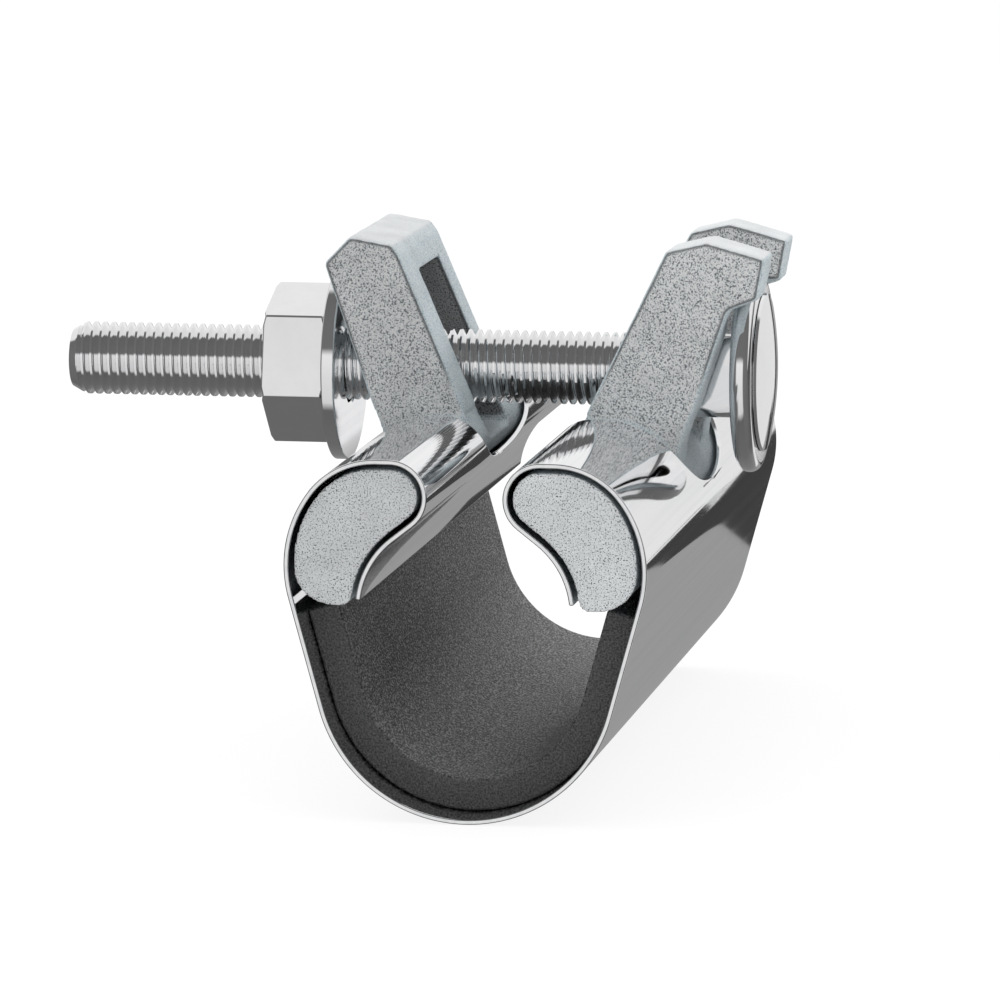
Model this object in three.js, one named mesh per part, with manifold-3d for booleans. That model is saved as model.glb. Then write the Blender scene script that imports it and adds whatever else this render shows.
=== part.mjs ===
// A pipe repair clamp: a sprung sheet band that holds a rubber gasket round a pipe. Each end of
// the band is rolled round a cast lug bar, and one bolt draws the two lugs together.
// Millimetres. The origin is the centre of the gasket's round seat at mid-length,
// +X runs along the bolt towards its head, +Y along the pipe, +Z up.

import * as THREE from 'three';
import { mergeVertices } from 'three/addons/utils/BufferGeometryUtils.js';
import Module from 'manifold-3d';

const wasm = await Module();
wasm.setup();

const clearance = 0.3;

// Band: a round bottom, two leaning sides and a roll at the top of each side.
const clampLength = 152;
const sheet = 0.8;
const seatRadius = 23.55;
const sideLean = THREE.MathUtils.degToRad(15.4);
const sideLength = 18.1;
const shoulderRadius = 19;
const shoulderTurn = THREE.MathUtils.degToRad(36);
const crownRadius = 13;
const crownFlat = 2.25;
const noseRadius = 5.45;
const flankAngle = THREE.MathUtils.degToRad(38);
const flankLength = 3.9;
const lipRadius = 14;
const lipTurn = THREE.MathUtils.degToRad(46);
const slotHalfWidth = 25;
const slotCentreZ = 33;
const slotDepthOutside = 12.4;
const slotDepthInside = 8.8;
const slotSplitX = 15;

// Gasket
const gasketThickness = 4.8;
const gasketLength = 137;
const gasketTopZ = 8;

// Lug castings: a bar that fills the roll, and two arms that straddle the bolt
const barGap = 0.5;
const barLength = clampLength - 0.6;
const barToeRadius = 1.7;
const barHeelRadius = 6.3;
const lugHalfWidth = 18.6;
const forkFrontY = -7.4;
const forkBackY = 9;
const windowFrontY = -7.4;
const windowBackY = 11;
const castRound = 0.7;
const windowTopZ = 55;

// Bolt, nut and washers, all on one axis above the rolls
const boltAxisZ = 38.2;
const boltRadius = 6;
const boltTipX = -78.7;
const tipChamfer = 2.2;
const neckStartX = 25.4;
const neckWidth = 14;
const headWasherX = 32.8;
const headWasherThickness = 3.5;
const headWasherRadius = 16.4;
const headWasherRound = 2.2;
const headRadius = 13;
const headHeight = 1.7;
const nutWasherX = -32.1;
const nutWasherThickness = 2.2;
const nutWasherRadius = 15.85;
const nutAcrossFlats = 23;
const nutThickness = 10.3;
const nutLeanBack = 12 * Math.PI / 180;

function material(name, color, roughness, metalness) {
  const made = new THREE.MeshStandardMaterial({ color, roughness, metalness });
  made.name = name;
  return made;
}

const stainless = material('polished stainless steel', 0xd4d6d8, 0.12, 1.0);
const castZinc = material('zinc plated cast iron', 0x9aa6ac, 0.55, 0.8);
const rubber = material('black rubber', 0x3c3c3c, 0.9, 0.0);
const brightSteel = material('bright steel', 0xb9bbbd, 0.18, 1.0);

// Solid geometry -----------------------------------------------------------

function toSolid(geometry) {
  const bare = geometry.clone();
  bare.deleteAttribute('normal');
  bare.deleteAttribute('uv');
  const merged = mergeVertices(bare, 1e-4);
  return new wasm.Manifold(new wasm.Mesh({
    numProp: 3,
    vertProperties: new Float32Array(merged.attributes.position.array),
    triVerts: new Uint32Array(merged.index.array),
  }));
}

function toGeometry(solid) {
  const mesh = solid.getMesh();
  const geometry = new THREE.BufferGeometry();
  geometry.setAttribute('position', new THREE.BufferAttribute(mesh.vertProperties, 3));
  geometry.setIndex(new THREE.BufferAttribute(mesh.triVerts, 1));
  geometry.computeVertexNormals();
  return geometry;
}

// A closed outline in the XZ plane, extruded along Y and centred on middleY.
function prismAlongY(outline, width, middleY = 0, round = 0) {
  const shape = new THREE.Shape(outline);
  const geometry = new THREE.ExtrudeGeometry(shape, {
    depth: width - 2 * round,
    curveSegments: 8,
    bevelEnabled: round > 0,
    bevelThickness: round,
    bevelSize: round,
    bevelOffset: -round,
    bevelSegments: 2,
  });
  geometry.translate(0, 0, -(width - 2 * round) / 2);
  geometry.rotateX(Math.PI / 2);
  geometry.translate(0, middleY, 0);
  return toSolid(geometry);
}

function block(fromX, toX, fromY, toY, fromZ, toZ) {
  const geometry = new THREE.BoxGeometry(toX - fromX, toY - fromY, toZ - fromZ);
  geometry.translate((fromX + toX) / 2, (fromY + toY) / 2, (fromZ + toZ) / 2);
  return toSolid(geometry);
}

// A profile of [radius, x] points turned round the bolt's axis.
function turnedOnBoltAxis(profile, segments = 64) {
  const points = profile.map(([radius, x]) => new THREE.Vector2(radius, x));
  const geometry = new THREE.LatheGeometry(points, segments);
  geometry.rotateZ(-Math.PI / 2);
  geometry.rotateX(Math.PI / 2);
  geometry.translate(0, 0, boltAxisZ);
  return toSolid(geometry);
}

function arcPoints(centre, radius, fromAngle, toAngle, steps) {
  const points = [];
  for (let step = 0; step <= steps; step += 1) {
    const angle = fromAngle + (toAngle - fromAngle) * step / steps;
    points.push(new THREE.Vector2(
      centre.x + radius * Math.cos(angle),
      centre.y + radius * Math.sin(angle),
    ));
  }
  return points;
}

function along(point, angle, distance) {
  return new THREE.Vector2(
    point.x + distance * Math.cos(angle),
    point.y + distance * Math.sin(angle),
  );
}

function mirrored(points) {
  return points.map((point) => new THREE.Vector2(-point.x, point.y)).reverse();
}

// Band profile -------------------------------------------------------------

// Centres of the tangent arcs that make the right-hand side of the band's centre line.
function rollCentres() {
  const quarter = Math.PI / 2;
  const sideStart = along(new THREE.Vector2(0, 0), -sideLean, seatRadius);
  const sideEnd = along(sideStart, quarter - sideLean, sideLength);
  const shoulder = along(sideEnd, Math.PI - sideLean, shoulderRadius);
  const crown = along(shoulder, shoulderTurn, shoulderRadius - crownRadius);
  const nose = new THREE.Vector2(crown.x - crownFlat, crown.y + crownRadius - noseRadius);
  const noseEndAngle = 3 * quarter - flankAngle;
  const flankEnd = along(along(nose, noseEndAngle, noseRadius), -flankAngle, flankLength);
  const lip = along(flankEnd, noseEndAngle, lipRadius);
  return { shoulder, crown, nose, noseEndAngle, lip };
}

// The roll's path from the shoulder to the lip, moved outwards by offset.
function rollPath(offset, lipEndAngle) {
  const { shoulder, crown, nose, noseEndAngle, lip } = rollCentres();
  const quarter = Math.PI / 2;
  return [
    ...arcPoints(crown, crownRadius + offset, shoulderTurn, quarter, 8),
    ...arcPoints(nose, noseRadius + offset, quarter, noseEndAngle, 16),
    ...arcPoints(lip, lipRadius - offset, noseEndAngle - Math.PI, lipEndAngle, 9),
  ];
}

function sidePath(offset) {
  const { shoulder, noseEndAngle } = rollCentres();
  return [
    ...arcPoints(new THREE.Vector2(0, 0), seatRadius + offset, -Math.PI / 2, -sideLean, 18),
    ...arcPoints(shoulder, shoulderRadius + offset, -sideLean, shoulderTurn, 10).slice(0, -1),
    ...rollPath(offset, noseEndAngle - Math.PI - lipTurn),
  ];
}

// A sheet outline: out along one face and back along the other.
function bandOutline() {
  const outer = sidePath(sheet / 2);
  const inner = sidePath(-sheet / 2);
  return [
    ...mirrored(outer).slice(0, -1),
    ...outer,
    ...inner.slice().reverse().slice(0, -1),
    ...mirrored(inner).reverse(),
  ];
}

// The arms come out through an oval slot in each roll, deeper on the outside than on the inside.
function slotCutter(side, fromX, toX, depth) {
  const oval = new THREE.Shape();
  oval.absellipse(0, slotCentreZ, slotHalfWidth, depth, 0, 2 * Math.PI, false);
  const geometry = new THREE.ExtrudeGeometry(oval, {
    depth: toX - fromX,
    curveSegments: 40,
    bevelEnabled: false,
  });
  geometry.rotateX(Math.PI / 2);
  geometry.rotateZ(Math.PI / 2);
  geometry.translate(side > 0 ? fromX : -toX, 0, 0);
  return toSolid(geometry);
}

function band() {
  const outsideX = 32;
  const insideX = 4;
  let solid = prismAlongY(bandOutline(), clampLength);
  for (const side of [-1, 1]) {
    solid = solid.subtract(slotCutter(side, slotSplitX, outsideX, slotDepthOutside));
    solid = solid.subtract(slotCutter(side, insideX, slotSplitX, slotDepthInside));
  }
  return toGeometry(solid);
}

// Gasket -------------------------------------------------------------------

// One face of the gasket, from the bottom up the right-hand side to its square end.
function gasketFace(depthInBand) {
  const radius = seatRadius - depthInBand;
  const turn = arcPoints(new THREE.Vector2(0, 0), radius, -Math.PI / 2, -sideLean, 16);
  const sideStart = turn[turn.length - 1];
  const rise = (gasketTopZ - sideStart.y) / Math.cos(sideLean);
  return [...turn, along(sideStart, Math.PI / 2 - sideLean, rise)];
}

function gasket() {
  const outer = gasketFace(sheet / 2 + clearance);
  const inner = gasketFace(sheet / 2 + clearance + gasketThickness);
  const outline = [
    ...mirrored(outer).slice(0, -1),
    ...outer,
    ...inner.slice().reverse().slice(0, -1),
    ...mirrored(inner).reverse(),
  ];
  return toGeometry(prismAlongY(outline, gasketLength));
}

// Lug castings ---------------------------------------------------------------

// The bar follows the inside of the roll and closes with a round toe and heel.
function barOutline() {
  const { shoulder, lip, noseEndAngle } = rollCentres();
  const offset = -(sheet / 2 + barGap);
  const lipFaceRadius = lipRadius - offset;
  const heel = new THREE.Vector2(shoulder.x + shoulderRadius + offset - barHeelRadius, shoulder.y);
  const toeRise = heel.y - barHeelRadius + barToeRadius - lip.y;
  const toeAngle = Math.asin(toeRise / (lipFaceRadius + barToeRadius));
  const toe = along(lip, toeAngle, lipFaceRadius + barToeRadius);
  return [
    ...arcPoints(heel, barHeelRadius, -Math.PI / 2, 0, 8),
    ...arcPoints(shoulder, shoulderRadius + offset, 0, shoulderTurn, 7).slice(1, -1),
    ...rollPath(offset, toeAngle),
    ...arcPoints(toe, barToeRadius, Math.PI + toeAngle, 1.5 * Math.PI, 4).slice(1),
  ];
}

// Two arms with one side view of [x, z] points, either side of the space from frontY to backY.
function arms(sideView, frontY, backY) {
  const outline = sideView.map(([x, z]) => new THREE.Vector2(x, z));
  const arm = (fromY, toY) => prismAlongY(outline, toY - fromY, (fromY + toY) / 2, castRound);
  return arm(-lugHalfWidth, frontY).add(arm(backY, lugHalfWidth));
}

// Between the arms the bar's crown is cut down to floorZ, so that the bolt can tilt.
function saddle(frontY, backY, floorZ) {
  const reachX = 30;
  return block(-reachX, reachX, frontY, backY, floorZ, boltAxisZ);
}

function nutSideLug() {
  const sideView = [
    [-33.2, 56.8], [-23.5, 28.5], [-24, 26.5], [-19, 24], [-11, 26.5], [-8.9, 31],
    [-20.7, 58.4], [-21.9, 60.1], [-28.9, 61.3],
  ];
  const saddleFloor = 28;
  const bridgeOverlap = 1;
  const bar = prismAlongY(mirrored(barOutline()), barLength, 0, castRound / 2);
  const outline = sideView.map(([x, z]) => new THREE.Vector2(x, z));
  const bridgeWidth = windowBackY - windowFrontY + 2 * bridgeOverlap;
  const bridge = prismAlongY(outline, bridgeWidth, (windowFrontY + windowBackY) / 2)
    .subtract(block(-40, 0, -20, 20, 0, windowTopZ));
  const solid = bar
    .subtract(saddle(windowFrontY, windowBackY, saddleFloor))
    .add(arms(sideView, windowFrontY, windowBackY))
    .add(bridge);
  return toGeometry(solid);
}

function hookSideLug() {
  const sideView = [
    [8.7, 30.7], [12, 26.5], [20, 24], [25.2, 25.2], [25.5, 27.7], [33, 50.2],
    [35.9, 51.4], [37.8, 52.1], [39, 58.9], [29.5, 61.5], [22.9, 59.9],
  ];
  const saddleFloor = 30;
  const seatX = headWasherX - 1.2;
  const seatDepth = 15;
  const seatRound = headWasherRadius + 0.6;
  const washerSeat = turnedOnBoltAxis([
    [0, seatX], [seatRound, seatX], [seatRound, seatX + seatDepth], [0, seatX + seatDepth],
  ]);
  const bar = prismAlongY(barOutline(), barLength, 0, castRound / 2);
  const solid = bar
    .subtract(saddle(forkFrontY, forkBackY, saddleFloor))
    .add(arms(sideView, forkFrontY, forkBackY))
    .subtract(washerSeat);
  return toGeometry(solid);
}

// Bolt and its hardware --------------------------------------------------------

function bolt() {
  const headX = headWasherX + headWasherThickness + clearance;
  const half = neckWidth / 2;
  const domeRadius = (headRadius ** 2 + headHeight ** 2) / (2 * headHeight);
  const rimAngle = Math.asin(headRadius / domeRadius);
  const dome = arcPoints(new THREE.Vector2(0, headX + headHeight - domeRadius),
    domeRadius, Math.PI / 2 - rimAngle, Math.PI / 2, 8);
  const shank = turnedOnBoltAxis([
    [0, boltTipX], [boltRadius - 1.2, boltTipX], [boltRadius, boltTipX + tipChamfer],
    [boltRadius, headX + 0.1], [0, headX + 0.1],
  ]);
  const head = turnedOnBoltAxis([
    [0, headX - 0.01], [headRadius - 0.2, headX - 0.01],
    ...dome.map((point) => [Math.max(point.x, 0), point.y]),
  ]);
  const neck = block(neckStartX, headX + 0.1, -half, half, boltAxisZ - half, boltAxisZ + half);
  return toGeometry(shank.add(neck).add(head));
}

function headWasher() {
  const boreRadius = neckWidth / Math.SQRT2 + clearance;
  const backX = headWasherX;
  const frontX = headWasherX + headWasherThickness;
  const roundCentre = new THREE.Vector2(headWasherRadius - headWasherRound, frontX - headWasherRound);
  const rim = arcPoints(roundCentre, headWasherRound, 0, Math.PI / 2, 5);
  return toGeometry(turnedOnBoltAxis([
    [boreRadius, backX], [headWasherRadius - 0.5, backX], [headWasherRadius, backX + 0.5],
    ...rim.map((point) => [point.x, point.y]),
    [boreRadius, frontX], [boreRadius, backX],
  ], 96));
}

function nutWasher() {
  const boreRadius = boltRadius + clearance + 0.2;
  const edge = 0.35;
  const backX = nutWasherX - nutWasherThickness;
  return toGeometry(turnedOnBoltAxis([
    [boreRadius, backX], [nutWasherRadius - edge, backX], [nutWasherRadius, backX + edge],
    [nutWasherRadius, nutWasherX - edge], [nutWasherRadius - edge, nutWasherX],
    [boreRadius, nutWasherX], [boreRadius, backX],
  ], 96));
}

// A hexagon turned so that its front flat leans back. Only its corners are coned off at 30 degrees.
function nut() {
  const rightX = nutWasherX - nutWasherThickness - clearance;
  const leftX = rightX - nutThickness;
  const cornerRadius = nutAcrossFlats / Math.sqrt(3);
  const coneRadius = cornerRadius - 0.7;
  const boreRadius = boltRadius + clearance;
  const hexagon = new THREE.CylinderGeometry(cornerRadius, cornerRadius, nutThickness, 6);
  hexagon.rotateZ(Math.PI / 2);
  hexagon.rotateX(-nutLeanBack);
  hexagon.translate((leftX + rightX) / 2, 0, boltAxisZ);
  const coneReach = cornerRadius + 1;
  const coneDepth = (coneReach - coneRadius) * Math.tan(Math.PI / 6);
  const cones = turnedOnBoltAxis([
    [0, leftX], [coneRadius, leftX], [coneReach, leftX + coneDepth],
    [coneReach, rightX - coneDepth], [coneRadius, rightX], [0, rightX],
  ], 96);
  const bore = turnedOnBoltAxis([
    [0, leftX - 1], [boreRadius, leftX - 1], [boreRadius, rightX + 1], [0, rightX + 1],
  ]);
  return toGeometry(toSolid(hexagon).intersect(cones).subtract(bore));
}

// Assembly -----------------------------------------------------------------

function piece(name, geometry, look) {
  const mesh = new THREE.Mesh(geometry, look);
  mesh.name = name;
  return mesh;
}

const clamp = new THREE.Group();
clamp.name = 'pipe_repair_clamp';
clamp.add(
  piece('band', band(), stainless),
  piece('gasket', gasket(), rubber),
  piece('nut_side_lug', nutSideLug(), castZinc),
  piece('hook_side_lug', hookSideLug(), castZinc),
  piece('bolt', bolt(), brightSteel),
  piece('head_washer', headWasher(), brightSteel),
  piece('nut_washer', nutWasher(), brightSteel),
  piece('nut', nut(), brightSteel),
);

export default clamp;
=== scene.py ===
"""Looks for a pipe repair clamp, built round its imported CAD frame.

Lengths here are in millimetres and become metres when a mesh is finished. The axes are the frame's:
the origin is the centre of the gasket's seat, +X runs along the bolt towards its head, +Y along the
pipe and +Z up.
"""

import math

import bmesh
import bpy
from mathutils import Matrix, Vector, noise


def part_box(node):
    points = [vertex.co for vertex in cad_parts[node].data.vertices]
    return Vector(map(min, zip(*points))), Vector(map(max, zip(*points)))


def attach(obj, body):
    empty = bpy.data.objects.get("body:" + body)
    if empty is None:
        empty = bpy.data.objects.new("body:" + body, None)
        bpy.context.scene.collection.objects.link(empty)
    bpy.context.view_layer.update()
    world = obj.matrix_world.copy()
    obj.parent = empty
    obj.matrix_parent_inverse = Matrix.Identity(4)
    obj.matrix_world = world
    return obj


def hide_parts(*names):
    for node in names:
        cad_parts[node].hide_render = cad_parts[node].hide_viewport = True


MM = 0.001
QUARTER = math.pi / 2

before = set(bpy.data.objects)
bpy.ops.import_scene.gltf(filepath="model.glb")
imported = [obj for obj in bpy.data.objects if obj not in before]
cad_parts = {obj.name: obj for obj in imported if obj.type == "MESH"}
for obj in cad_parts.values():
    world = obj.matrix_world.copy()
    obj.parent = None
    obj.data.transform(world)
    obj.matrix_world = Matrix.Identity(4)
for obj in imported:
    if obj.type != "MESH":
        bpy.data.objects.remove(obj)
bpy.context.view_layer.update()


def node_box(name):
    low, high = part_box(name)
    return low / MM, high / MM


band_low, band_high = node_box("band")
gasket_low, gasket_high = node_box("gasket")
bolt_low, bolt_high = node_box("bolt")
head_washer_low, head_washer_high = node_box("head_washer")
nut_washer_low, nut_washer_high = node_box("nut_washer")
nut_low, nut_high = node_box("nut")
_, lug_high = node_box("nut_side_lug")
bolt_axis_z = (nut_low.z + nut_high.z) / 2

# Steps and segments of the meshes
ORIGIN = Vector((0, 0))
MERGE_DISTANCE = 1e-4
ARC_STEP = math.radians(1)
PATH_STEP = 0.02
WASHER_SEGMENTS = 128
BOLT_SEGMENTS = 96
NUT_SEGMENTS = 6 * 20

# Band: the same run of tangent arcs as the CAD band, on its centre line
SHEET = 0.8
SEAT_RADIUS = -band_low.z - SHEET / 2
SIDE_LEAN = math.radians(15.4)
SIDE_LENGTH = 18.1
SHOULDER_RADIUS = 19
SHOULDER_TURN = math.radians(36)
CROWN_RADIUS = 13
CROWN_FLAT = 2.25
NOSE_RADIUS = 5.45
FLANK_ANGLE = math.radians(38)
FLANK_LENGTH = 3.9
LIP_RADIUS = 14
LIP_TURN = math.radians(46)
SLOT_HALF_WIDTH = 25
SLOT_CENTRE_Z = 33
SLOT_DEPTH_OUTSIDE = 12.4
SLOT_DEPTH_INSIDE = 8.8
SLOT_SPLIT_X = 15
SHEET_EDGE = 0.24

# Its mesh: distance between rows, and columns that lie closer together beside the slots
BAND_SPACING = 0.8
SLOT_MARGIN = 3
END_MARGIN = 1
NEAR_COLUMNS = 5
FAR_COLUMNS = 8

GASKET_GAP = 0.06
GASKET_EDGE = 0.5
GASKET_SPACING = 1.0

# Castings: rounds of smoothing, how far the skin is drawn back, (height, size) of its waves, and the foot
VOXEL = 0.42
SOFTENING = 6
FILLETING = 70
BAR_TOP = 33
BAR_PLAY = 0.25
SKIN_PLAY = 0.03
SKIN_WAVES = [(0.05, 5), (0.03, 1.6)]
FOOT_BOTTOM = 27
FOOT_RISE = 2
FOOT_TOP = 35
FOOT_BLEND = 6

# Bolt: its thread, its square neck and its head
THREAD_PITCH = 1.5
THREAD_DEPTH = 0.92
BOLT_RADIUS = 6
TIP_RADIUS = BOLT_RADIUS - 1.2
TIP_CHAMFER = 2.2
NECK_START_X = 25.4
NECK_HALF_WIDTH = 7
NECK_EDGE = 0.6
THREAD_END_X = NECK_START_X - 1
HEAD_GAP = 0.08
HEAD_EDGE = 0.5
HEAD_CORNER = 0.1
DOME_STEPS = 16

# How square a ring of the neck is: 2 is a circle
ROUND = 2
SOFT_SQUARE = 4
SQUARE = 9

# Washers
THICK_WASHER_RIM = 1.7
THICK_WASHER_EDGE = 0.5
THICK_WASHER_PLAY = 0.3
FLAT_WASHER_EDGE = 0.3
FLAT_WASHER_PLAY = 0.5

# Nut
NUT_ACROSS_FLATS = 23
NUT_LEAN = math.radians(12)
NUT_CHAMFER = 0.7
NUT_EDGE = 0.3
NUT_PLAY = 0.25
NUT_COUNTERSINK = 0.7
NUT_FACE_INSET = 0.4
HALF_FLAT = math.radians(30)
CONE_SLOPE = math.tan(math.radians(30))

# Materials
RUBBER_GRAIN_DEPTH = 0.25
SAND_GRAIN_DEPTH = 0.3
ZINC_METALLIC = 0.45
BAR_END_DEPTH = 0.5

# Stage
CAMERA_AZIMUTH = math.radians(9.6)
CAMERA_ELEVATION = math.radians(8.4)
CAMERA_DISTANCE = 1273
CAMERA_AIM = Vector((-8.0, 4.5, 15.3))
SENSOR_WIDTH = 36
LENS = 277.2
FLOOR_GAP = 0.05
FLOOR_REACH = 3000
COVE_RADIUS = 800
COVE_STEPS = 8
BACKDROP_HEIGHT = 4000

# Cards that the bright pieces mirror: (x, z) corners on one plane far behind the clamp
CARD_DISTANCE = 600
SIDE_FLAG = [(150, -74), (124, -56), (47, -82), (34, -110), (112, -100)]
CREST_CARD = [(150, -74), (124, -56), (128, -54), (155, -73)]
BRIGHT_CARD = [(160, -76), (133, -54), (113, -76), (113, 150), (420, 150), (420, -250), (170, -250)]
WASHER_FLAG = [(74, -72), (112, -72), (112, 10), (74, 10)]
DARK = 0.05


# Mesh helpers -----------------------------------------------------------------


def polar(centre, angle, radius):
    return centre + Vector((math.cos(angle), math.sin(angle))) * radius


def add_object(name, data):
    made = bpy.data.objects.new(name, data)
    bpy.context.scene.collection.objects.link(made)
    return made


def finish_mesh(name, bm, material):
    """Turns a millimetre mesh into a smooth shaded one in metres."""
    bm.transform(Matrix.Scale(MM, 4))
    mesh = bpy.data.meshes.new(name)
    bm.to_mesh(mesh)
    bm.free()
    mesh.shade_smooth()
    mesh.materials.append(material)
    return mesh


def new_piece(name, bm, body, slot_name, material, *replaced):
    """Finishes a millimetre mesh as a piece that rides on a body and stands for its CAD nodes."""
    bmesh.ops.recalc_face_normals(bm, faces=bm.faces)
    piece = add_object(name, finish_mesh(name, bm, material))
    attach(piece, body)
    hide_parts(*replaced)
    return piece


def round_edges(piece, width, segments=2, angle=35):
    bevel = piece.modifiers.new("edges", "BEVEL")
    bevel.width = width * MM
    bevel.segments = segments
    bevel.limit_method = "ANGLE"
    bevel.angle_limit = math.radians(angle)
    bevel.use_clamp_overlap = False
    bevel.harden_normals = True


def flatten_faces(piece):
    """Keeps the wide flat faces of a turned piece flat in its shading, beside its rounded edges."""
    piece.data.set_sharp_from_angle(angle=math.radians(35))
    weighted = piece.modifiers.new("flats", "WEIGHTED_NORMAL")
    weighted.keep_sharp = True


def ring_around_bolt(bm, x, radius_at, segments):
    """A ring of vertices round the bolt's axis. radius_at gives the radius at an angle."""
    ring = []
    for step in range(segments):
        angle = 2 * math.pi * step / segments
        radius = radius_at(angle)
        y = radius * math.cos(angle)
        z = bolt_axis_z + radius * math.sin(angle)
        ring.append(bm.verts.new((x, y, z)))
    return ring


def round_ring(bm, x, radius, segments):
    return ring_around_bolt(bm, x, lambda _: radius, segments)


def join_rings(bm, first, second):
    for here, (a, b) in enumerate(zip(first, second)):
        bm.faces.new((a, first[here - 1], second[here - 1], b))


def turned(profile):
    """A closed loop of (radius, x) points turned round the bolt's axis."""
    bm = bmesh.new()
    rings = [round_ring(bm, x, radius, WASHER_SEGMENTS) for radius, x in profile]
    for here, ring in enumerate(rings):
        join_rings(bm, rings[here - 1], ring)
    return bm


def corner(radius, x, size, start, steps=5):
    """A quarter round at an outer corner of a turned profile, as (radius, x) points from an angle."""
    points = []
    for step in range(steps + 1):
        angle = start + QUARTER * step / steps
        points.append((radius + size * math.cos(angle), x + size * math.sin(angle)))
    return points


# Band and gasket --------------------------------------------------------------


def arc(centre, radius, start, end, outward=1):
    """Points of an arc, each with the direction that is outwards for the sheet."""
    steps = max(2, math.ceil(abs(end - start) / ARC_STEP))
    points = []
    for step in range(steps + 1):
        angle = start + (end - start) * step / steps
        direction = polar(ORIGIN, angle, 1)
        points.append((centre + direction * radius, direction * outward))
    return points


def half_centre_line():
    """The right-hand half of the band's centre line, from the bottom round the roll to the lip."""
    seat_end = polar(ORIGIN, -SIDE_LEAN, SEAT_RADIUS)
    side_end = polar(seat_end, QUARTER - SIDE_LEAN, SIDE_LENGTH)
    shoulder = polar(side_end, math.pi - SIDE_LEAN, SHOULDER_RADIUS)
    crown = polar(shoulder, SHOULDER_TURN, SHOULDER_RADIUS - CROWN_RADIUS)
    nose = crown + Vector((-CROWN_FLAT, CROWN_RADIUS - NOSE_RADIUS))
    nose_end = 3 * QUARTER - FLANK_ANGLE
    flank_end = polar(polar(nose, nose_end, NOSE_RADIUS), -FLANK_ANGLE, FLANK_LENGTH)
    lip = polar(flank_end, nose_end, LIP_RADIUS)
    lip_start = nose_end - math.pi
    return [
        *arc(ORIGIN, SEAT_RADIUS, -QUARTER, -SIDE_LEAN),
        *arc(shoulder, SHOULDER_RADIUS, -SIDE_LEAN, SHOULDER_TURN),
        *arc(crown, CROWN_RADIUS, SHOULDER_TURN, QUARTER),
        *arc(nose, NOSE_RADIUS, QUARTER, nose_end),
        *arc(lip, LIP_RADIUS, lip_start, lip_start - LIP_TURN, outward=-1),
    ]


def slot_half_width(point):
    """Half the slot's width along Y where the sheet passes this point, or 0 beside the slot."""
    depth = SLOT_DEPTH_OUTSIDE if point.x > SLOT_SPLIT_X else SLOT_DEPTH_INSIDE
    share = abs(point.y - SLOT_CENTRE_Z) / depth
    return SLOT_HALF_WIDTH * math.sqrt(1 - share * share) if share < 1 else 0


def stations(path, spacing):
    """(point, outward, slot) picked so that neither path nor slot edge moves on by more than spacing."""
    picked = []
    for (start, start_out), (end, end_out) in zip(path, path[1:]):
        steps = math.ceil((end - start).length / PATH_STEP)
        for step in range(steps):
            share = step / steps
            point = start.lerp(end, share)
            slot = slot_half_width(point)
            if picked:
                last_point, _, last_slot = picked[-1]
                moved = math.hypot((point - last_point).length, slot - last_slot)
                opened = (slot > 0) != (last_slot > 0)
                if moved < spacing and not opened:
                    continue
            picked.append((point, start_out.lerp(end_out, share).normalized(), slot))
    end, end_out = path[-1]
    return [*picked, (end, end_out, slot_half_width(end))]


def both_sides(half):
    """A right-hand half path with its mirror image before it."""
    mirrored = []
    for point, outward, slot in reversed(half[1:]):
        mirrored.append((Vector((-point.x, point.y)), Vector((-outward.x, outward.y)), slot))
    return [*mirrored, *half]


def sheet_columns(slot, length):
    """Y positions across the sheet, closer together beside the slot."""
    settled = min(SLOT_HALF_WIDTH + SLOT_MARGIN, length / 2 - END_MARGIN)
    near = [slot + (settled - slot) * step / NEAR_COLUMNS for step in range(NEAR_COLUMNS + 1)]
    far = [settled + (length / 2 - settled) * step / FAR_COLUMNS for step in range(1, FAR_COLUMNS + 1)]
    half = near + far
    return [-y for y in reversed(half)] + half


def sheet_grid(bm, rows, length, offset):
    """A row of vertices for each station, at an offset from the path."""
    grid = []
    for point, outward, slot in rows:
        at = point + outward * offset
        grid.append([bm.verts.new((at.x, y, at.y)) for y in sheet_columns(slot, length)])
    return grid


def sheet_solid(rows, length, outer, inner):
    """A solid sheet between two offsets from a path, with a slot where the rows state one."""
    bm = bmesh.new()
    outside = sheet_grid(bm, rows, length, outer)
    inside = sheet_grid(bm, rows, length, inner)
    last = len(outside[0]) - 1
    middle = len(outside[0]) // 2
    strips = [column for column in range(last) if column != middle - 1]
    for row in range(len(rows) - 1):
        for grid in (outside, inside):
            for column in strips:
                bm.faces.new((grid[row][column], grid[row][column + 1],
                              grid[row + 1][column + 1], grid[row + 1][column]))
        slotted = rows[row][2] > 0 or rows[row + 1][2] > 0
        rims = [0, middle - 1, middle, last] if slotted else [0, last]
        for column in rims:
            bm.faces.new((outside[row][column], outside[row + 1][column],
                          inside[row + 1][column], inside[row][column]))
    for row in (0, -1):
        for column in strips:
            bm.faces.new((outside[row][column], outside[row][column + 1],
                          inside[row][column + 1], inside[row][column]))
    bmesh.ops.remove_doubles(bm, verts=bm.verts, dist=MERGE_DISTANCE)
    return bm


def make_band(material):
    rows = both_sides(stations(half_centre_line(), BAND_SPACING))
    bm = sheet_solid(rows, band_high.y - band_low.y, SHEET / 2, -SHEET / 2)
    piece = new_piece("band_sheet", bm, "clamp_band", "stainless_band", material, "band")
    round_edges(piece, SHEET_EDGE)


def gasket_inner_radius():
    """The radius of the pipe's seat: the CAD gasket's own closest distance to the pipe's axis."""
    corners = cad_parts["gasket"].data.vertices
    return min(math.hypot(v.co.x, v.co.z) for v in corners) / MM


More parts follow.
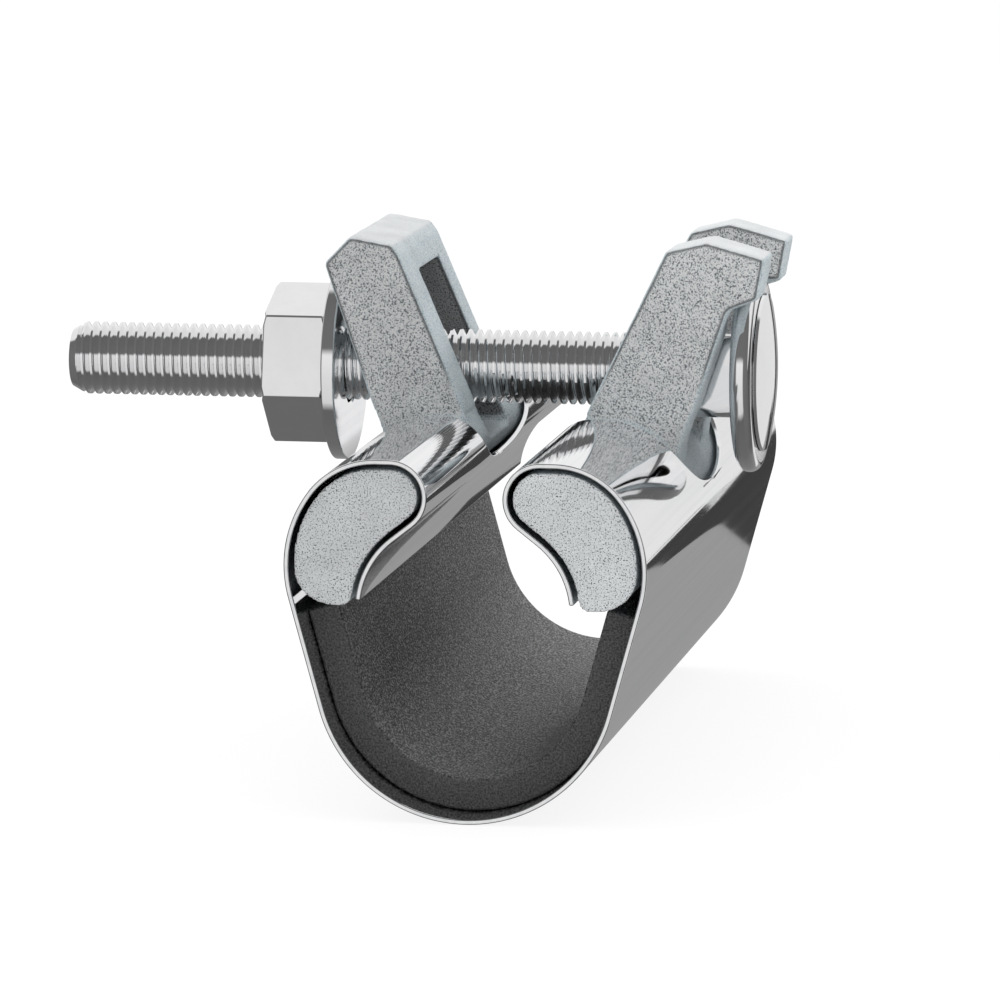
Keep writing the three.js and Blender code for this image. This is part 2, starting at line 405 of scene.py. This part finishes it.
def make_gasket(material):
    seat = arc(ORIGIN, SEAT_RADIUS, -QUARTER, -SIDE_LEAN)
    side_start, outward = seat[-1]
    rise = (gasket_high.z - side_start.y) / math.cos(SIDE_LEAN)
    seat.append((polar(side_start, QUARTER - SIDE_LEAN, rise), outward))
    rows = both_sides([(point, out, 0) for point, out, _ in stations(seat, GASKET_SPACING)])
    outer = -(SHEET / 2 + GASKET_GAP)
    inner = gasket_inner_radius() - SEAT_RADIUS
    bm = sheet_solid(rows, gasket_high.y - gasket_low.y, outer, inner)
    piece = new_piece("gasket_pad", bm, "clamp_band", "rubber", material, "gasket")
    round_edges(piece, GASKET_EDGE, segments=3)


# Lug castings -----------------------------------------------------------------


def apply_modifiers(piece):
    graph = bpy.context.evaluated_depsgraph_get()
    piece.data = bpy.data.meshes.new_from_object(piece.evaluated_get(graph))
    piece.modifiers.clear()


def add_smoothing(piece, name, iterations):
    smoothing = piece.modifiers.new(name, "SMOOTH")
    smoothing.factor = 0.5
    smoothing.iterations = iterations
    return smoothing


def soften_edges(piece):
    skin = piece.modifiers.new("skin", "REMESH")
    skin.mode = "VOXEL"
    skin.voxel_size = VOXEL * MM
    add_smoothing(piece, "soften", SOFTENING)
    apply_modifiers(piece)


def foot_share(point):
    """How far a point belongs to the foot of the arms, where the casting flows into its bar."""
    inside = 1 if abs(point.y) < SLOT_HALF_WIDTH else 0
    above_bar = min(1, max(0, (point.z - FOOT_BOTTOM) / FOOT_RISE))
    below_arm = min(1, max(0, (FOOT_TOP - point.z) / FOOT_BLEND))
    return inside * above_bar * below_arm


def fillet_foot(piece):
    foot = piece.vertex_groups.new(name="foot")
    for vertex in piece.data.vertices:
        share = foot_share(vertex.co / MM)
        if share > 0:
            foot.add([vertex.index], share, "REPLACE")
    add_smoothing(piece, "fillet", FILLETING).vertex_group = foot.name
    apply_modifiers(piece)


def wave_skin(piece):
    """Moves the skin in and out a little, and draws it back so that the bar lies free in its roll."""
    normals = [vertex.normal.copy() for vertex in piece.data.vertices]
    for vertex, normal in zip(piece.data.vertices, normals):
        place = vertex.co / MM
        wave = sum(height * noise.noise(place / size) for height, size in SKIN_WAVES)
        on_bar = place.z < BAR_TOP and abs(normal.y) < 0.5
        play = BAR_PLAY if on_bar else SKIN_PLAY
        vertex.co += normal * (wave - play) * MM
    piece.data.shade_smooth()


def make_casting(name, node, material):
    """A casting: the CAD solid with soft edges, filleted feet and a slightly uneven skin."""
    bm = bmesh.new()
    bm.from_mesh(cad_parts[node].data)
    bmesh.ops.remove_doubles(bm, verts=bm.verts, dist=MERGE_DISTANCE * MM)
    bm.transform(Matrix.Scale(1 / MM, 4))
    piece = new_piece(name, bm, "clamp_band", "cast_zinc", material, node)
    soften_edges(piece)
    fillet_foot(piece)
    wave_skin(piece)


# Bolt and its hardware ----------------------------------------------------------


def thread_profile():
    """(phase, depth share) of one thread: a narrow crest, two straight flanks and a rounded root."""
    crest = 0.24
    root = 0.2
    flank = (1 - crest - root) / 2
    flank_depth = 0.9
    flank_steps = 3
    points = [(0, 0), (crest, 0)]
    for step in range(1, flank_steps + 1):
        share = step / flank_steps
        points.append((crest + flank * share, flank_depth * share))
    points.append((crest + flank + root / 2, 1))
    for step in range(flank_steps):
        share = step / flank_steps
        points.append((1 - flank + flank * share, flank_depth * (1 - share)))
    return points


def thread_limit(x, tip, end):
    """The largest radius at x: the tip's chamfer, and a short run-out where the thread ends."""
    chamfer = TIP_RADIUS + (BOLT_RADIUS - TIP_RADIUS) * (x - tip) / TIP_CHAMFER
    run_out = TIP_RADIUS + (end - x)
    return max(TIP_RADIUS, min(BOLT_RADIUS, chamfer, run_out))


def thread_rows(bm, tip, end):
    """Rows that follow the helix, a whole profile for each turn, closed off square at both ends."""
    profile = thread_profile()
    turns = math.ceil((end - tip) / THREAD_PITCH) + 2
    rows = []
    for turn in range(turns):
        for phase, depth in profile:
            row = []
            for step in range(BOLT_SEGMENTS):
                share = step / BOLT_SEGMENTS
                x = tip + THREAD_PITCH * (turn - 1 + phase + share)
                x = min(end, max(tip, x))
                radius = min(BOLT_RADIUS - THREAD_DEPTH * depth, thread_limit(x, tip, end))
                angle = 2 * math.pi * share
                y = radius * math.cos(angle)
                z = bolt_axis_z + radius * math.sin(angle)
                row.append(bm.verts.new((x, y, z)))
            rows.append(row)
    per_turn = len(profile)
    for here in range(len(rows) - 1):
        for step in range(BOLT_SEGMENTS - 1):
            bm.faces.new((rows[here][step], rows[here][step + 1],
                          rows[here + 1][step + 1], rows[here + 1][step]))
        if here + 1 + per_turn < len(rows):
            bm.faces.new((rows[here][-1], rows[here + per_turn][0],
                          rows[here + per_turn + 1][0], rows[here + 1][-1]))
    return rows


def neck_radius(angle, squareness):
    """A circle at squareness 2, and a square with soft corners well above it."""
    total = abs(math.cos(angle)) ** squareness + abs(math.sin(angle)) ** squareness
    return total ** (-1 / squareness)


def close_ring(bm, ring, x):
    centre = bm.verts.new((x, 0, bolt_axis_z))
    for here, vertex in enumerate(ring):
        bm.faces.new((ring[here - 1], vertex, centre))


def neck_rings(bm, head_x):
    """Rings from the end of the thread up to the square neck, and along it to the head."""
    sections = [
        (THREAD_END_X, BOLT_RADIUS - THREAD_DEPTH, ROUND),
        (NECK_START_X - NECK_EDGE, BOLT_RADIUS, ROUND),
        (NECK_START_X, NECK_HALF_WIDTH - NECK_EDGE, SOFT_SQUARE),
        (NECK_START_X + NECK_EDGE, NECK_HALF_WIDTH, SQUARE),
        (head_x, NECK_HALF_WIDTH, SQUARE),
    ]
    rings = []
    for x, size, squareness in sections:
        def radius_at(angle):
            return size * neck_radius(angle, squareness)

        rings.append(ring_around_bolt(bm, x, radius_at, BOLT_SEGMENTS))
    return rings


def head_rings(bm, head_x):
    """Rings from the head's flat underside round its rim and in over its low dome."""
    radius = bolt_high.y
    dome_height = bolt_high.x - head_x - HEAD_EDGE
    dome_radius = (radius ** 2 + dome_height ** 2) / (2 * dome_height)
    rim_angle = math.asin((radius - HEAD_EDGE / 2) / dome_radius)
    profile = [(radius - HEAD_CORNER, head_x), (radius, head_x + HEAD_CORNER)]
    for step in range(DOME_STEPS):
        angle = rim_angle * (1 - step / DOME_STEPS)
        profile.append((dome_radius * math.sin(angle), bolt_high.x - dome_radius * (1 - math.cos(angle))))
    return [round_ring(bm, x, ring_radius, BOLT_SEGMENTS) for ring_radius, x in profile]


def make_bolt(material):
    bm = bmesh.new()
    head_x = head_washer_high.x + HEAD_GAP
    rows = thread_rows(bm, bolt_low.x, THREAD_END_X)
    rings = [rows[-1], *neck_rings(bm, head_x), *head_rings(bm, head_x)]
    for first, second in zip(rings, rings[1:]):
        join_rings(bm, first, second)
    close_ring(bm, rows[0], bolt_low.x)
    close_ring(bm, rings[-1], bolt_high.x)
    bmesh.ops.remove_doubles(bm, verts=bm.verts, dist=MERGE_DISTANCE)
    piece = new_piece("threaded_bolt", bm, "bolt", "bright_steel", material, "bolt")
    piece.data.set_sharp_from_angle(angle=math.radians(40))


def washer_profile(low, high, bore, rim, edge, steps):
    """Half a washer's section: a rim rounded by rim, and a bore bevelled by edge at its head end."""
    radius = high.y
    return [
        (bore, low.x),
        *corner(radius - rim, low.x + rim, rim, -QUARTER, steps),
        *corner(radius - rim, high.x - rim, rim, 0, steps),
        (bore + edge, high.x),
        (bore, high.x - edge),
    ]


def make_head_washer(material):
    bore = NECK_HALF_WIDTH * math.sqrt(2) + THICK_WASHER_PLAY
    bm = turned(washer_profile(head_washer_low, head_washer_high, bore,
                               THICK_WASHER_RIM, THICK_WASHER_EDGE, steps=10))
    flatten_faces(new_piece("thick_washer", bm, "head_washer", "bright_steel", material, "head_washer"))


def make_nut_washer(material):
    bore = BOLT_RADIUS + FLAT_WASHER_PLAY
    bm = turned(washer_profile(nut_washer_low, nut_washer_high, bore,
                               FLAT_WASHER_EDGE, FLAT_WASHER_EDGE, steps=5))
    flatten_faces(new_piece("flat_washer", bm, "nut_washer", "bright_steel", material, "nut_washer"))


def make_nut(material):
    """A hexagon turned as the CAD nut is. Its end rings follow the line where the flats meet the cone."""
    low, high = nut_low, nut_high
    inner_radius = NUT_ACROSS_FLATS / 2
    cone_radius = inner_radius / math.cos(HALF_FLAT) - NUT_CHAMFER
    face_radius = inner_radius - NUT_FACE_INSET
    bore = BOLT_RADIUS + NUT_PLAY
    bm = bmesh.new()

    def flat_radius(angle):
        from_corner = (angle - QUARTER + NUT_LEAN) % (2 * HALF_FLAT)
        return inner_radius / math.cos(from_corner - HALF_FLAT)

    def flat_ring(end_x, inwards):
        ring = ring_around_bolt(bm, end_x, flat_radius, NUT_SEGMENTS)
        for step, vertex in enumerate(ring):
            beyond = flat_radius(2 * math.pi * step / NUT_SEGMENTS) - cone_radius
            vertex.co.x += inwards * max(0, beyond) * CONE_SLOPE
        return ring

    rings = [
        round_ring(bm, low.x + NUT_COUNTERSINK, bore, NUT_SEGMENTS),
        round_ring(bm, low.x, bore + NUT_COUNTERSINK, NUT_SEGMENTS),
        round_ring(bm, low.x, face_radius, NUT_SEGMENTS),
        flat_ring(low.x, 1),
        flat_ring(high.x, -1),
        round_ring(bm, high.x, face_radius, NUT_SEGMENTS),
        round_ring(bm, high.x, bore, NUT_SEGMENTS),
    ]
    for here, ring in enumerate(rings):
        join_rings(bm, rings[here - 1], ring)
    piece = new_piece("hex_nut", bm, "nut", "bright_steel", material, "nut")
    round_edges(piece, NUT_EDGE, segments=3, angle=20)


# Materials --------------------------------------------------------------------


def add_node(tree, kind, inputs=None, **settings):
    """Makes a node. An input value that is a socket is linked, anything else is set."""
    made = tree.nodes.new(kind)
    for name, value in settings.items():
        setattr(made, name, value)
    for name, value in (inputs or {}).items():
        if isinstance(value, bpy.types.NodeSocket):
            tree.links.new(value, made.inputs[name])
        else:
            made.inputs[name].default_value = value
    return made


def new_material(name):
    material = bpy.data.materials.new(name)
    material.use_nodes = True
    tree = material.node_tree
    shader = next(n for n in tree.nodes if n.type == "BSDF_PRINCIPLED")
    return material, tree, shader


def ramp(tree, factor, stops):
    made = add_node(tree, "ShaderNodeValToRGB", {"Fac": factor})
    elements = made.color_ramp.elements
    while len(elements) < len(stops):
        elements.new(0.5)
    for element, (position, colour) in zip(elements, stops):
        element.position = position
        element.color = (*colour, 1)
    return made.outputs["Color"]


def separate(tree, vector, axis):
    return add_node(tree, "ShaderNodeSeparateXYZ", {"Vector": vector}).outputs[axis]


def calculate(tree, operation, *values):
    """The result of one Math node."""
    return add_node(tree, "ShaderNodeMath", dict(enumerate(values)), operation=operation).outputs["Value"]


def map_range(tree, value, start, stop, low, high):
    """Goes from low to high as the value goes from start to stop, and stays level beyond them."""
    return add_node(tree, "ShaderNodeMapRange", {
        "Value": value, "From Min": start, "From Max": stop, "To Min": low, "To Max": high,
    }).outputs["Result"]


def mix_colours(tree, factor, first, second, blend="MIX"):
    return add_node(tree, "ShaderNodeMix", {"Factor": factor, "A": first, "B": second},
                    data_type="RGBA", blend_type=blend).outputs["Result"]


def grey(value):
    return (value, value, value)


def surface_noise(tree, size, stretch=(1, 1, 1), detail=2):
    """Noise fixed to the piece, with features about size millimetres across."""
    place = add_node(tree, "ShaderNodeTexCoord").outputs["Object"]
    scaled = add_node(tree, "ShaderNodeMapping", {"Vector": place, "Scale": stretch}).outputs["Vector"]
    made = add_node(tree, "ShaderNodeTexNoise",
                    {"Vector": scaled, "Scale": 1 / (size * MM), "Detail": detail})
    return made.outputs["Fac"]


def add_grain_bump(tree, shader, height, depth):
    bump = add_node(tree, "ShaderNodeBump", {"Strength": 1.0, "Distance": depth * MM, "Height": height})
    tree.links.new(bump.outputs["Normal"], shader.inputs["Normal"])


def polished_band():
    material, tree, shader = new_material("polished_stainless")
    shader.inputs["Metallic"].default_value = 1
    drawn = surface_noise(tree, 1.2, stretch=(1, 0.01, 1), detail=3)
    colour = ramp(tree, drawn, [(0.35, (0.84, 0.85, 0.86)), (0.6, (0.92, 0.92, 0.93))])
    tree.links.new(colour, shader.inputs["Base Color"])
    rough = ramp(tree, drawn, [(0.3, grey(0.03)), (0.7, grey(0.045))])
    tree.links.new(rough, shader.inputs["Roughness"])
    return material


def bright_steel():
    material, tree, shader = new_material("machined_bright_steel")
    shader.inputs["Metallic"].default_value = 1
    cloud = surface_noise(tree, 3, detail=4)
    colour = ramp(tree, cloud, [(0.3, (0.87, 0.87, 0.88)), (0.7, (0.90, 0.90, 0.90))])
    tree.links.new(colour, shader.inputs["Base Color"])
    rough = ramp(tree, surface_noise(tree, 0.5), [(0.35, grey(0.05)), (0.75, grey(0.08))])
    tree.links.new(rough, shader.inputs["Roughness"])
    return material


def granular_rubber():
    material, tree, shader = new_material("granular_rubber")
    shader.inputs["Specular IOR Level"].default_value = 0.8
    grain = surface_noise(tree, 0.3, stretch=(1, 0.35, 1), detail=3)
    # The grain on both is the rubber's own, but the inner faces are painted lighter than the cut ends:
    # painted light standing in for light falling inside the band
    inside = ramp(tree, grain, [(0.38, grey(0.012)), (0.5, grey(0.07)), (0.64, grey(0.27))])
    cut_end = ramp(tree, grain, [(0.36, grey(0.02)), (0.64, grey(0.10))])
    facing = add_node(tree, "ShaderNodeTexCoord").outputs["Normal"]
    across = calculate(tree, "ABSOLUTE", separate(tree, facing, "Y"))
    tree.links.new(mix_colours(tree, across, inside, cut_end), shader.inputs["Base Color"])
    rough = ramp(tree, grain, [(0.3, grey(0.6)), (0.7, grey(0.38))])
    tree.links.new(rough, shader.inputs["Roughness"])
    add_grain_bump(tree, shader, grain, RUBBER_GRAIN_DEPTH)
    return material


def plated_colour_and_top_highlight(tree, coarse, fine, top, sand, end):
    """Bluish sides, tops painted paler as a painted highlight from light above, sand grained faces across
    the pipe and speckled bar ends.
    """
    side_colour = ramp(tree, fine, [(0.36, (0.36, 0.50, 0.58)), (0.48, (0.80, 0.90, 0.95)),
                                    (0.62, (0.96, 1.0, 1.0))])
    # Painted highlight: upward faces above the bars are painted paler than the sides, as if lit from above
    painted_top_highlight = ramp(tree, fine, [(0.35, (0.80, 0.83, 0.85)), (0.65, (0.94, 0.96, 0.97))])
    sand_colour = ramp(tree, coarse, [(0.36, (0.16, 0.18, 0.19)), (0.48, (0.84, 0.87, 0.89)),
                                      (0.6, (1.0, 1.0, 1.0))])
    end_colour = ramp(tree, fine, [(0.37, (0.10, 0.11, 0.12)), (0.42, (0.90, 0.94, 0.96)),
                                   (0.6, (0.97, 0.99, 1.0))])
    colour = side_colour
    for share, other in ((top, painted_top_highlight), (sand, sand_colour), (end, end_colour)):
        colour = mix_colours(tree, share, colour, other)
    return colour


def zinc_casting():
    """Zinc plated casting: coarse sand grain on the faces across the pipe, finer and bluer elsewhere, with
    a painted highlight on its tops and painted shade in its slots, along its arms' edges and behind its
    window.
    """
    material, tree, shader = new_material("zinc_plated_casting")
    coordinates = add_node(tree, "ShaderNodeTexCoord").outputs
    place = add_node(tree, "ShaderNodeSeparateXYZ", {"Vector": coordinates["Object"]}).outputs
    facing = add_node(tree, "ShaderNodeSeparateXYZ", {"Vector": coordinates["Normal"]}).outputs
    across = calculate(tree, "ABSOLUTE", facing["Y"])

    def fade(axis, start, stop, low, high):
        return map_range(tree, place[axis], start * MM, stop * MM, low, high)

    coarse = surface_noise(tree, 0.24, detail=3)
    fine = surface_noise(tree, 0.22, detail=2)
    cloud = surface_noise(tree, 6, detail=3)

    # Which kind of face this is
    above_bar = fade("Z", 34, 40, 0.0, 1.0)
    top = calculate(tree, "MULTIPLY", ramp(tree, facing["Z"], [(0.5, grey(0)), (0.8, grey(1))]), above_bar)
    sand = ramp(tree, across, [(0.75, grey(0)), (0.95, grey(1))])
    from_middle = calculate(tree, "ABSOLUTE", place["Y"])
    end = calculate(tree, "GREATER_THAN", from_middle, (lug_high.y - BAR_END_DEPTH) * MM)
    skin = plated_colour_and_top_highlight(tree, coarse, fine, top, sand, end)

    # Factors that darken it, where 1 leaves it as it is: a random tone, painted shade down in the slots,
    # the nut-side casting a little darker, a painted shade line along the arms' edges and painted shade
    # behind the window
    worn = ramp(tree, cloud, [(0.3, grey(0.88)), (0.7, grey(1.0))])
    # Painted shade down in the slots between the arms; the same mask also makes the casting less metallic
    # and rougher there
    painted_slot_shade = calculate(tree, "MAXIMUM", fade("Z", 28, 34, 0.7, 1.0), end)
    nut_side = fade("X", -10, 10, 0.88, 1.0)
    # Painted shade: a dark line where the normal turns round the edges of the faces across the pipe, kept
    # to the arms
    edges = ramp(tree, across, [(0.6, grey(1)), (0.78, grey(0.3)), (0.93, grey(0.4)), (0.99, grey(1))])
    on_arm = fade("Z", 37, 41, 0.0, 1.0)
    # Painted shade on the front face of the nut-side casting's rear arm, seen through its window
    rear_arm = fade("Y", 0, 4, 1.0, 0.4)
    hook_side = fade("X", -8, 0, 0.0, 1.0)
    painted_window_shade = calculate(tree, "MAXIMUM", rear_arm, hook_side)
    facing_front = map_range(tree, facing["Y"], -0.7, -0.9, 0.0, 1.0)
    shades = ((worn, 1.0), (painted_slot_shade, 1.0), (nut_side, 1.0), (edges, on_arm), (painted_window_shade, facing_front))
    for shade, strength in shades:
        skin = mix_colours(tree, strength, skin, shade, blend="MULTIPLY")
    tree.links.new(skin, shader.inputs["Base Color"])

    shader.inputs["Specular IOR Level"].default_value = 0.25
    tree.links.new(calculate(tree, "MULTIPLY", painted_slot_shade, ZINC_METALLIC), shader.inputs["Metallic"])
    rough = ramp(tree, coarse, [(0.3, grey(0.5)), (0.7, grey(0.32))])
    tree.links.new(mix_colours(tree, painted_slot_shade, (0.9, 0.9, 0.9, 1), rough), shader.inputs["Roughness"])
    height = add_node(tree, "ShaderNodeMix", {"Factor": sand, "A": fine, "B": coarse}).outputs["Result"]
    add_grain_bump(tree, shader, height, SAND_GRAIN_DEPTH)
    return material


def glowing_matt(name, shade, glow):
    """A matt material that gives off some white light of its own."""
    material, _, shader = new_material(name)
    shader.inputs["Base Color"].default_value = (shade, shade, shade, 1)
    shader.inputs["Roughness"].default_value = 1
    shader.inputs["Specular IOR Level"].default_value = 0
    shader.inputs["Emission Color"].default_value = (1, 1, 1, 1)
    shader.inputs["Emission Strength"].default_value = glow
    return material


# Stage ------------------------------------------------------------------------


def brightness_by_pitch(tree, turn, pitches):
    """A ramp over the pitch round the bolt's axis: 0 degrees is the front, 90 is overhead."""
    return ramp(tree, turn, [((angle + 180) / 360, grey(value)) for angle, value in pitches])


def mirrored_studio(tree, direction):
    """What bright pieces mirror: bright overhead and behind, a window in front, dark bands between.

    Well to the left and right it is dark apart from a strip overhead.
    """
    parts = add_node(tree, "ShaderNodeSeparateXYZ", {"Vector": direction}).outputs
    front = calculate(tree, "MULTIPLY", parts["Y"], -1.0)
    pitch = calculate(tree, "ARCTAN2", parts["Z"], front)
    turn = calculate(tree, "MULTIPLY_ADD", pitch, 1 / (2 * math.pi), 0.5)
    below = [(-180, 0.7), (-173, 0.34), (-140, 0.2), (-110, 0.15)]
    window = [(-52, 0.13), (-42, 0.7), (16, 0.86), (24, 0.16)]
    overhead = [(98, 0.14), (107, 0.86), (180, 0.92)]
    middle = brightness_by_pitch(tree, turn, [*below, *window, *overhead])
    sides = brightness_by_pitch(
        tree, turn, [(-180, 0.08), (-110, 0.14), (-20, 0.16), (20, 0.16), (98, 0.14), (107, 0.86),
                     (148, 0.86), (165, 0.1), (180, 0.08)])
    sideways = calculate(tree, "ABSOLUTE", parts["X"])
    beside = ramp(tree, sideways, [(0.5, grey(0)), (0.62, grey(1))])
    return mix_colours(tree, beside, middle, sides)


def make_world():
    """White all round, but mirror reflections see the studio instead."""
    world = bpy.data.worlds.new("studio")
    bpy.context.scene.world = world
    world.use_nodes = True
    tree = world.node_tree
    background = next(n for n in tree.nodes if n.type == "BACKGROUND")
    direction = add_node(tree, "ShaderNodeTexCoord").outputs["Generated"]
    glossy = add_node(tree, "ShaderNodeLightPath").outputs["Is Glossy Ray"]
    seen = mix_colours(tree, glossy, (1, 1, 1, 1), mirrored_studio(tree, direction))
    tree.links.new(seen, background.inputs["Color"])
    background.inputs["Strength"].default_value = 1.0


def make_card(name, outline, brightness):
    """A card of (x, z) corners far behind the clamp, which only mirror reflections see."""
    corners = [Vector((x, CARD_DISTANCE, z)) * MM for x, z in outline]
    mesh = bpy.data.meshes.new(name)
    mesh.from_pydata(corners, [], [range(len(corners))])
    mesh.materials.append(glowing_matt(name, 0, brightness))
    card = add_object(name, mesh)
    card.visible_camera = False
    card.visible_diffuse = False
    card.visible_shadow = False
    card.visible_transmission = False


def make_floor():
    """A pale floor that turns up into a backdrop far behind the clamp. Mirror reflections miss it."""
    ground = band_low.z - FLOOR_GAP
    profile = [(-FLOOR_REACH, ground), (FLOOR_REACH, ground)]
    for step in range(1, COVE_STEPS + 1):
        angle = QUARTER * step / COVE_STEPS
        y = FLOOR_REACH + COVE_RADIUS * math.sin(angle)
        profile.append((y, ground + COVE_RADIUS * (1 - math.cos(angle))))
    profile.append((FLOOR_REACH + COVE_RADIUS, ground + BACKDROP_HEIGHT))
    bm = bmesh.new()
    lines = [[bm.verts.new((x, y, z)) for x in (-2 * FLOOR_REACH, 2 * FLOOR_REACH)] for y, z in profile]
    for (a, b), (c, d) in zip(lines, lines[1:]):
        bm.faces.new((a, b, d, c))
    floor = add_object("floor", finish_mesh("floor", bm, glowing_matt("pale_floor", 0.15, 0.86)))
    floor.visible_glossy = False


def turn_towards(thing, direction):
    thing.rotation_mode = "QUATERNION"
    thing.rotation_quaternion = direction.to_track_quat("-Z", "Y")


def make_light(name, place, aim, size, power):
    data = bpy.data.lights.new(name, "AREA")
    data.size = size * MM
    data.energy = power
    light = add_object(name, data)
    light.location = Vector(place) * MM
    turn_towards(light, Vector(aim) * MM - light.location)
    light.visible_camera = False
    light.visible_glossy = False


def make_camera():
    back = Vector((
        math.sin(CAMERA_AZIMUTH) * math.cos(CAMERA_ELEVATION),
        -math.cos(CAMERA_AZIMUTH) * math.cos(CAMERA_ELEVATION),
        math.sin(CAMERA_ELEVATION),
    ))
    data = bpy.data.cameras.new("camera")
    data.sensor_width = SENSOR_WIDTH
    data.lens = LENS
    data.clip_start = 0.05
    data.clip_end = 50
    camera = add_object("camera", data)
    camera.location = (CAMERA_AIM + back * CAMERA_DISTANCE) * MM
    turn_towards(camera, -back)
    bpy.context.scene.camera = camera


def main():
    steel = bright_steel()
    zinc = zinc_casting()
    make_band(polished_band())
    make_gasket(granular_rubber())
    make_casting("nut_side_casting", "nut_side_lug", zinc)
    make_casting("hook_side_casting", "hook_side_lug", zinc)
    make_bolt(steel)
    make_head_washer(steel)
    make_nut_washer(steel)
    make_nut(steel)

    make_world()
    make_floor()
    make_card("side_flag", SIDE_FLAG, DARK)
    make_card("crest_card", CREST_CARD, 0.85)
    make_card("bright_card", BRIGHT_CARD, 0.8)
    make_card("washer_flag", WASHER_FLAG, DARK)
    make_light("top_light", place=(-150, 100, 900), aim=(0, 0, 20), size=1400, power=4)
    make_camera()
    bpy.context.scene.view_settings.view_transform = "Standard"


main()
